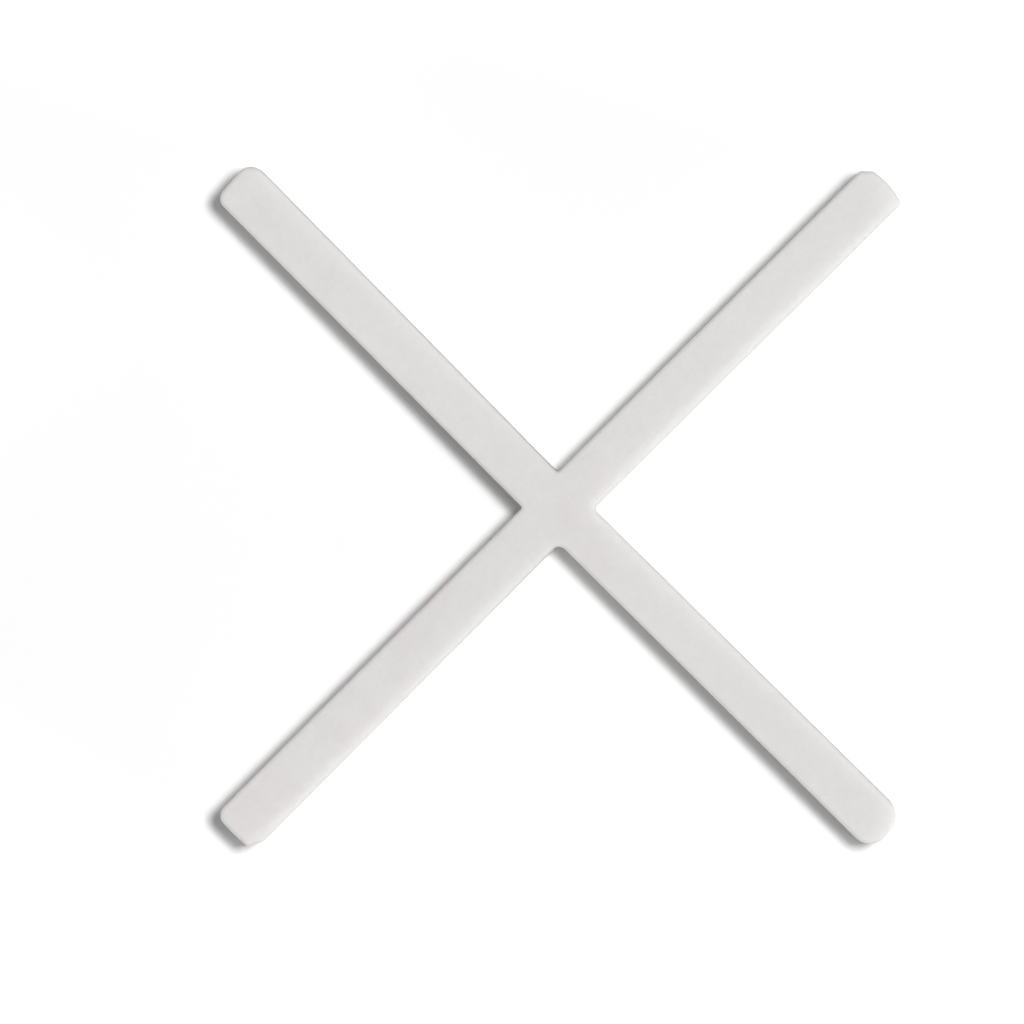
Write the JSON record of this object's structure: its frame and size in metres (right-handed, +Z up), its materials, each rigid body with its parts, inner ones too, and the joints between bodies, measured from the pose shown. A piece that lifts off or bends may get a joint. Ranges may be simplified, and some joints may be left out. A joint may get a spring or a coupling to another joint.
{
  "type": "tile spacer",
  "caption": "Flat cross-shaped spacer of soft white plastic, whose slim arms stand in the joints between tile corners and keep the joints an even width.",
  "frame": {"origin": "the crossing of the arms, on the underside that the spacer lies on", "axes": "+Z up through the crossing, out of the upper face; the arms lie along +X, +Y, -X and -Y"},
  "size_m": [0.0293, 0.0294, 0.0032],
  "materials": {
    "white_plastic": "satin, slightly translucent"
  },
  "bodies": {
    "root": {"cross_spacer": "white_plastic"}
  },
  "joints": []
}
